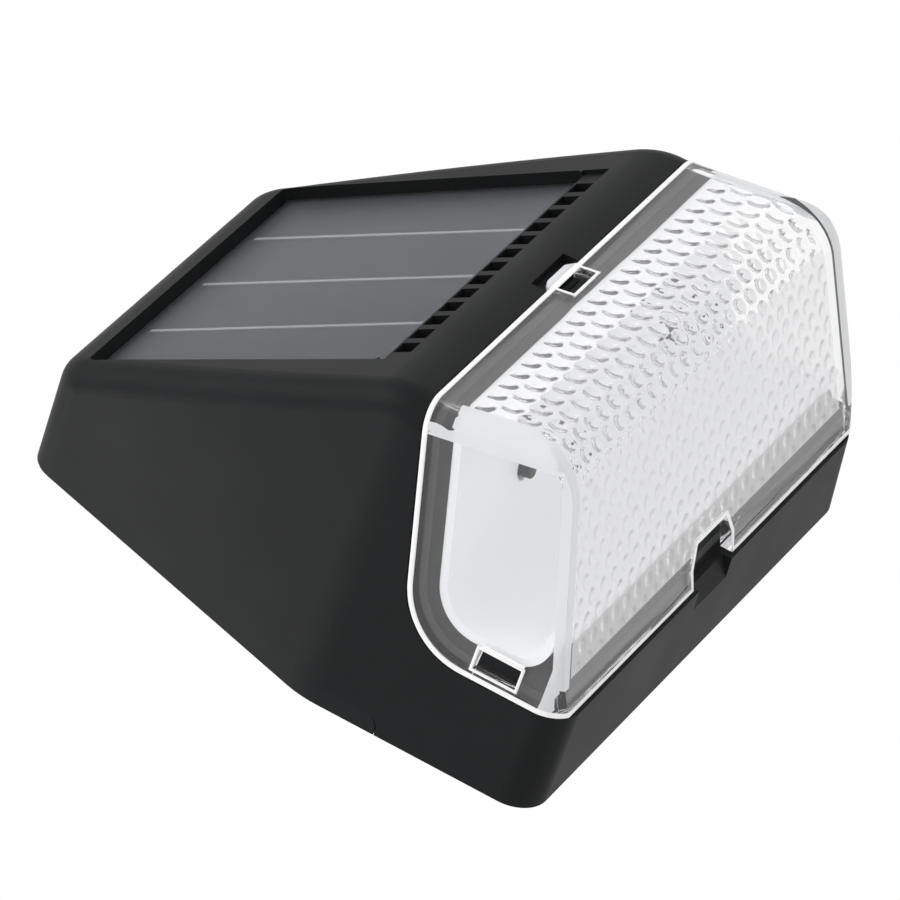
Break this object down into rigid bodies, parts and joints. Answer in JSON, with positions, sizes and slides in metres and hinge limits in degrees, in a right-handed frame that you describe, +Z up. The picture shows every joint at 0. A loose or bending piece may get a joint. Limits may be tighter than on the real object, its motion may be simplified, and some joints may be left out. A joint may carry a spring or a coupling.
{
  "type": "solar fence light",
  "caption": "Wedge-shaped solar wall light: black housing with a sloping solar panel, clear prismatic light cover below the nose, keyholes and a push switch in the back.",
  "frame": {"origin": "on the wall plane, midway between the two hanging screws where the keyhole slots end", "axes": "+X to the right for somebody who faces the light, +Z up, +Y into the wall; the light stands out towards -Y"},
  "size_m": [0.1, 0.0497, 0.0906],
  "materials": {
    "housing": "moulded black ABS, fine satin texture",
    "lens_cover": "injection-moulded clear polystyrene with a moulded prism texture",
    "seal_rubber": "black silicone cord",
    "back_cover": "moulded black ABS, satin",
    "screw_steel": "zinc-plated self-tapping screws",
    "reflector": "moulded white ABS, glossy",
    "led_board": "glass-epoxy board with white solder mask",
    "led_body": "white LED package",
    "led_phosphor": "yellow phosphor in silicone",
    "foam_tape": "black foam tape",
    "panel_base": "black glass-epoxy base",
    "silicon": "dark amorphous silicon strips",
    "bus_silver": "printed silver lines",
    "panel_resin": "cast clear epoxy with a satin top",
    "nickel_steel": "nickel-plated drawn steel can",
    "cell_sleeve": "green shrink sleeve",
    "inner_plastic": "moulded black ABS",
    "board_green": "glass-epoxy board with green solder mask",
    "chip_black": "moulded epoxy package",
    "ferrite": "pressed ferrite",
    "copper_wire": "enamelled copper wire",
    "capacitor_can": "drawn aluminium can",
    "button_rubber": "dark grey silicone button",
    "lead_red": "red PVC insulation",
    "lead_black": "black PVC insulation"
  },
  "bodies": {
    "housing": {"housing": "housing", "cover_seal": "seal_rubber", "back_cover": "back_cover", "back_seal": "seal_rubber", "back_screws": "screw_steel", "reflector": "reflector", "led_board": "led_board", "led_bodies": "led_body", "led_faces": "led_phosphor", "led_screws": "screw_steel", "panel_tape": "foam_tape", "panel_base": "panel_base", "panel_cells": "silicon", "panel_bus_lines": "bus_silver", "panel_resin": "panel_resin", "cell_can": "nickel_steel", "cell_sleeve": "cell_sleeve", "cell_cap": "nickel_steel", "contact_plus": "nickel_steel", "contact_minus": "nickel_steel", "contact_spring": "nickel_steel", "cell_cradle": "inner_plastic", "cradle_screws": "screw_steel", "main_board": "board_green", "board_screws": "screw_steel", "driver_chip": "chip_black", "coil_core": "ferrite", "coil_winding": "copper_wire", "capacitor": "capacitor_can", "switch_body": "chip_black", "panel_lead_red": "lead_red", "panel_lead_black": "lead_black", "cell_lead_red": "lead_red", "cell_lead_black": "lead_black", "led_lead_red": "lead_red", "led_lead_black": "lead_black"},
    "lens_cover": {"lens_cover": "lens_cover"},
    "switch": {"switch_button": "button_rubber", "switch_stem": "inner_plastic"}
  },
  "joints": [
    {"name": "cover_release", "type": "slide", "parent": "housing", "child": "lens_cover", "axis": [0, -1, 0], "range_m": [0, 0.05]},
    {"name": "switch_press", "type": "slide", "parent": "housing", "child": "switch", "axis": [0, -1, 0], "range_m": [0, 0.0012], "stiffness_N_per_m": 600, "springref_m": -0.0008}
  ]
}
